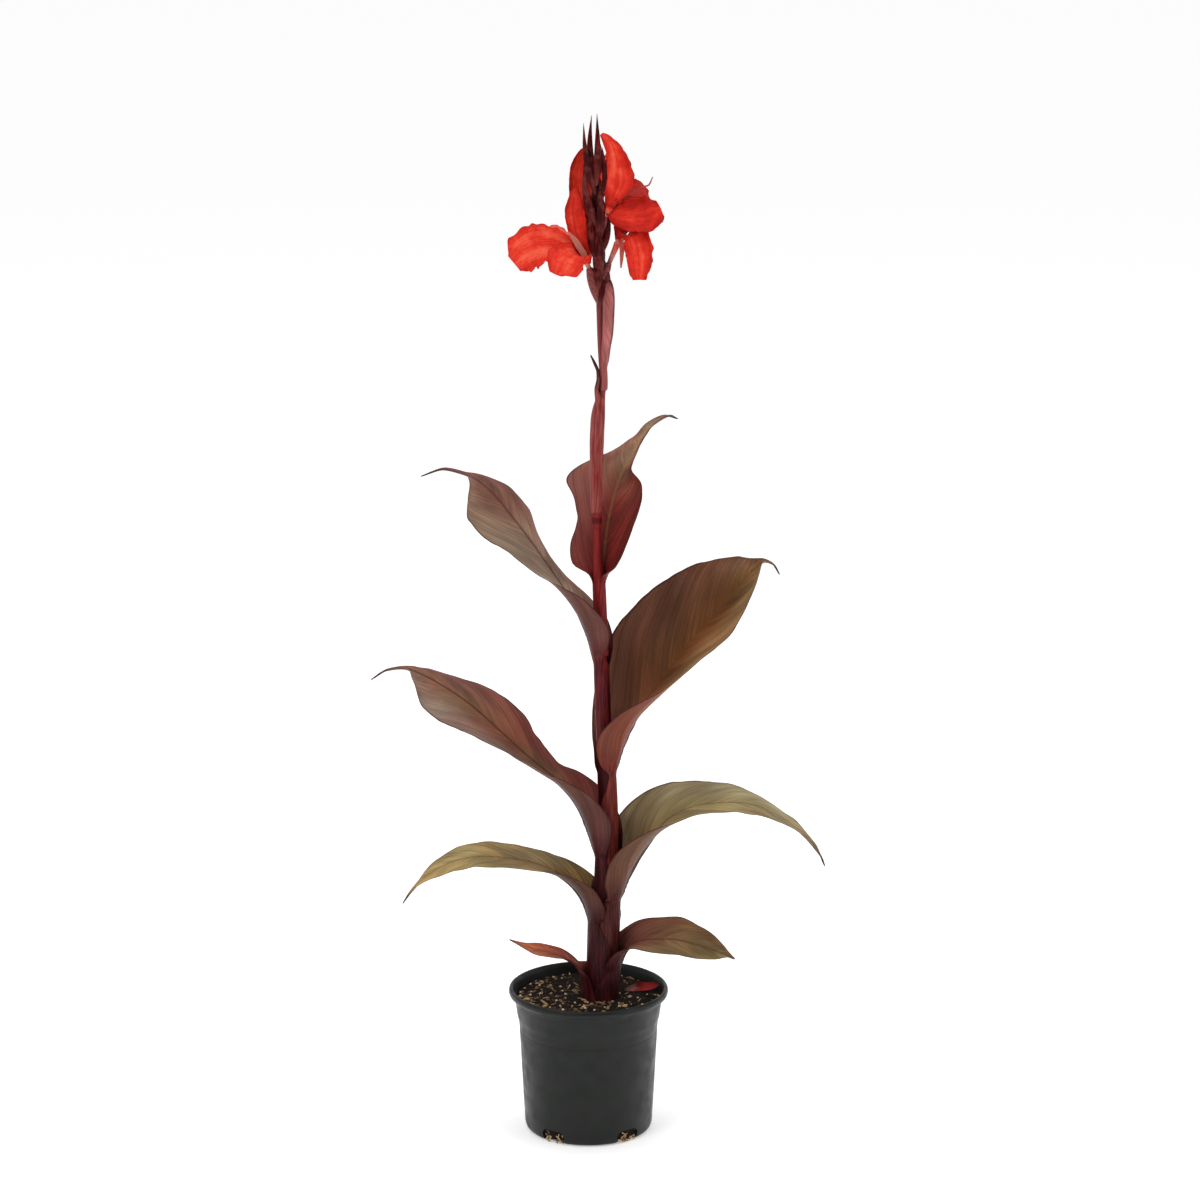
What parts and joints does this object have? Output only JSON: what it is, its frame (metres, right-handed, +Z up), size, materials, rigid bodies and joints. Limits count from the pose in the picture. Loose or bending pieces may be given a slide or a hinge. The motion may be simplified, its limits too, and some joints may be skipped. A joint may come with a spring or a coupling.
{
  "type": "potted canna lily plant",
  "caption": "Bronze-leaved canna lily in a round nursery pot: upright jointed stalk, arching sheathed leaves and a spike of scarlet blooms.",
  "frame": {"origin": "centre of the pot's underside, on the surface that it stands on", "axes": "+Z up along the plant, -Y towards the side that the blooms and leaf faces show best, +X to the right seen from there"},
  "size_m": [0.4684, 0.2235, 1.055],
  "materials": {
    "pot_plastic": "satin black-green moulded plastic",
    "potting_mix": "loose bark and peat with pale grit",
    "cane": "satin dark maroon stem",
    "bronze_leaf": "satin bronze-brown to olive leaf with a maroon margin",
    "pink_bract": "satin dusty pink-red bract",
    "scarlet_petal": "soft scarlet petal"
  },
  "bodies": {
    "root": {"pot": "pot_plastic", "soil": "potting_mix", "stem": "cane", "leaf_1_base_left": "bronze_leaf", "leaf_2_base_right": "bronze_leaf", "leaf_3_lower_left": "bronze_leaf", "leaf_4_lower_right": "bronze_leaf", "leaf_5_middle_left": "bronze_leaf", "leaf_6_middle_right": "bronze_leaf", "leaf_7_upper_left": "bronze_leaf", "leaf_8_upper_back": "bronze_leaf", "bract_1_stalk": "pink_bract", "bract_2_spathe": "pink_bract", "bloom_1_left_lower": "scarlet_petal", "bloom_2_left_upper": "scarlet_petal", "bloom_3_right_upper": "scarlet_petal", "bloom_4_right_lower": "scarlet_petal", "fallen_petal": "scarlet_petal"}
  },
  "joints": []
}
